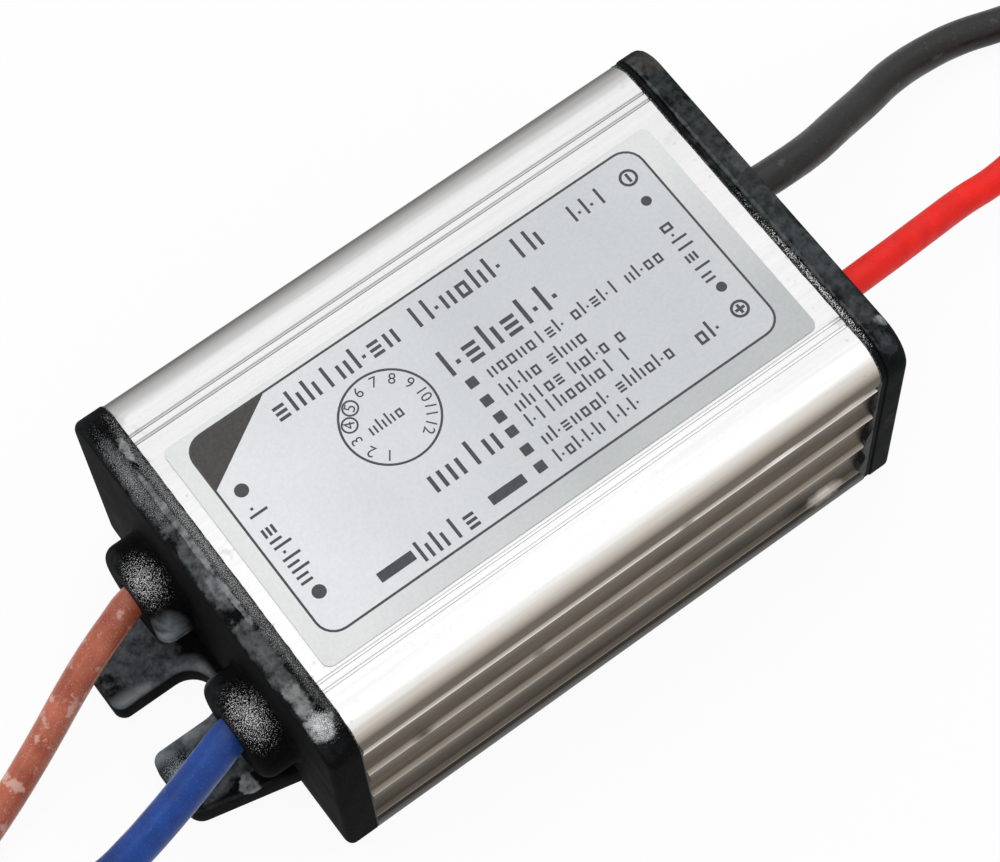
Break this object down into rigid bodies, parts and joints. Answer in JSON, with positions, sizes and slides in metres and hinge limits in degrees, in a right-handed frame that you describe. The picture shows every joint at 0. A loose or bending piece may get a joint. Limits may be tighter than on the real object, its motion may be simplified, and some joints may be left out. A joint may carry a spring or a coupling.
{
  "type": "led driver",
  "caption": "Small waterproof LED driver: fluted aluminium case, two moulded end caps, one with a slotted mounting ear, a printed label and leads at both ends.",
  "frame": {"origin": "centre of the bottom face of the aluminium case", "axes": "+X along the case to the output end, +Z out of the label face, -X to the mounting ear"},
  "size_m": [0.1702, 0.0531, 0.0239],
  "materials": {
    "case_aluminium": "satin anodised extrusion",
    "label_foil": "printed foil sticker",
    "cap_plastic": "moulded black plastic with sealant smears",
    "sealant": "dark squeezed-out sealant",
    "board": "green solder resist",
    "film": "thin insulating film",
    "ferrite": "sintered ferrite",
    "bobbin": "moulded bobbin",
    "winding_tape": "polyester tape over the winding",
    "tinned_metal": "tinned copper",
    "capacitor_sleeve": "shrink sleeve",
    "enamelled_copper": "enamelled winding wire",
    "coated_ceramic": "dipped coating",
    "fuse_body": "coated body",
    "moulded_epoxy": "moulded epoxy package",
    "brown_insulation": "smooth PVC insulation",
    "blue_insulation": "smooth PVC insulation",
    "red_insulation": "smooth PVC insulation",
    "black_insulation": "smooth PVC insulation"
  },
  "bodies": {
    "root": {"housing": "case_aluminium", "label": "label_foil", "input_cap": "cap_plastic", "output_cap": "cap_plastic", "input_seal": "sealant", "output_seal": "sealant", "circuit_board": "board", "insulating_film": "film", "left_core_half": "ferrite", "right_core_half": "ferrite", "transformer_bobbin": "bobbin", "transformer_winding": "winding_tape", "transformer_pins": "tinned_metal", "input_capacitor": "capacitor_sleeve", "output_capacitor": "capacitor_sleeve", "choke_core": "ferrite", "choke_winding": "enamelled_copper", "input_fuse": "fuse_body", "surge_varistor": "coated_ceramic", "bridge_rectifier": "moulded_epoxy", "isolation_capacitor": "coated_ceramic", "switching_transistor": "moulded_epoxy", "output_diode": "moulded_epoxy", "controller_chip": "moulded_epoxy", "chip_resistors": "moulded_epoxy", "brown_lead": "brown_insulation", "brown_lead_coil": "brown_insulation", "brown_lead_tip": "tinned_metal", "blue_lead": "blue_insulation", "blue_lead_coil": "blue_insulation", "blue_lead_tip": "tinned_metal", "red_lead": "red_insulation", "red_lead_coil": "red_insulation", "red_lead_tip": "tinned_metal", "black_lead": "black_insulation", "black_lead_coil": "black_insulation", "black_lead_tip": "tinned_metal"}
  },
  "joints": []
}
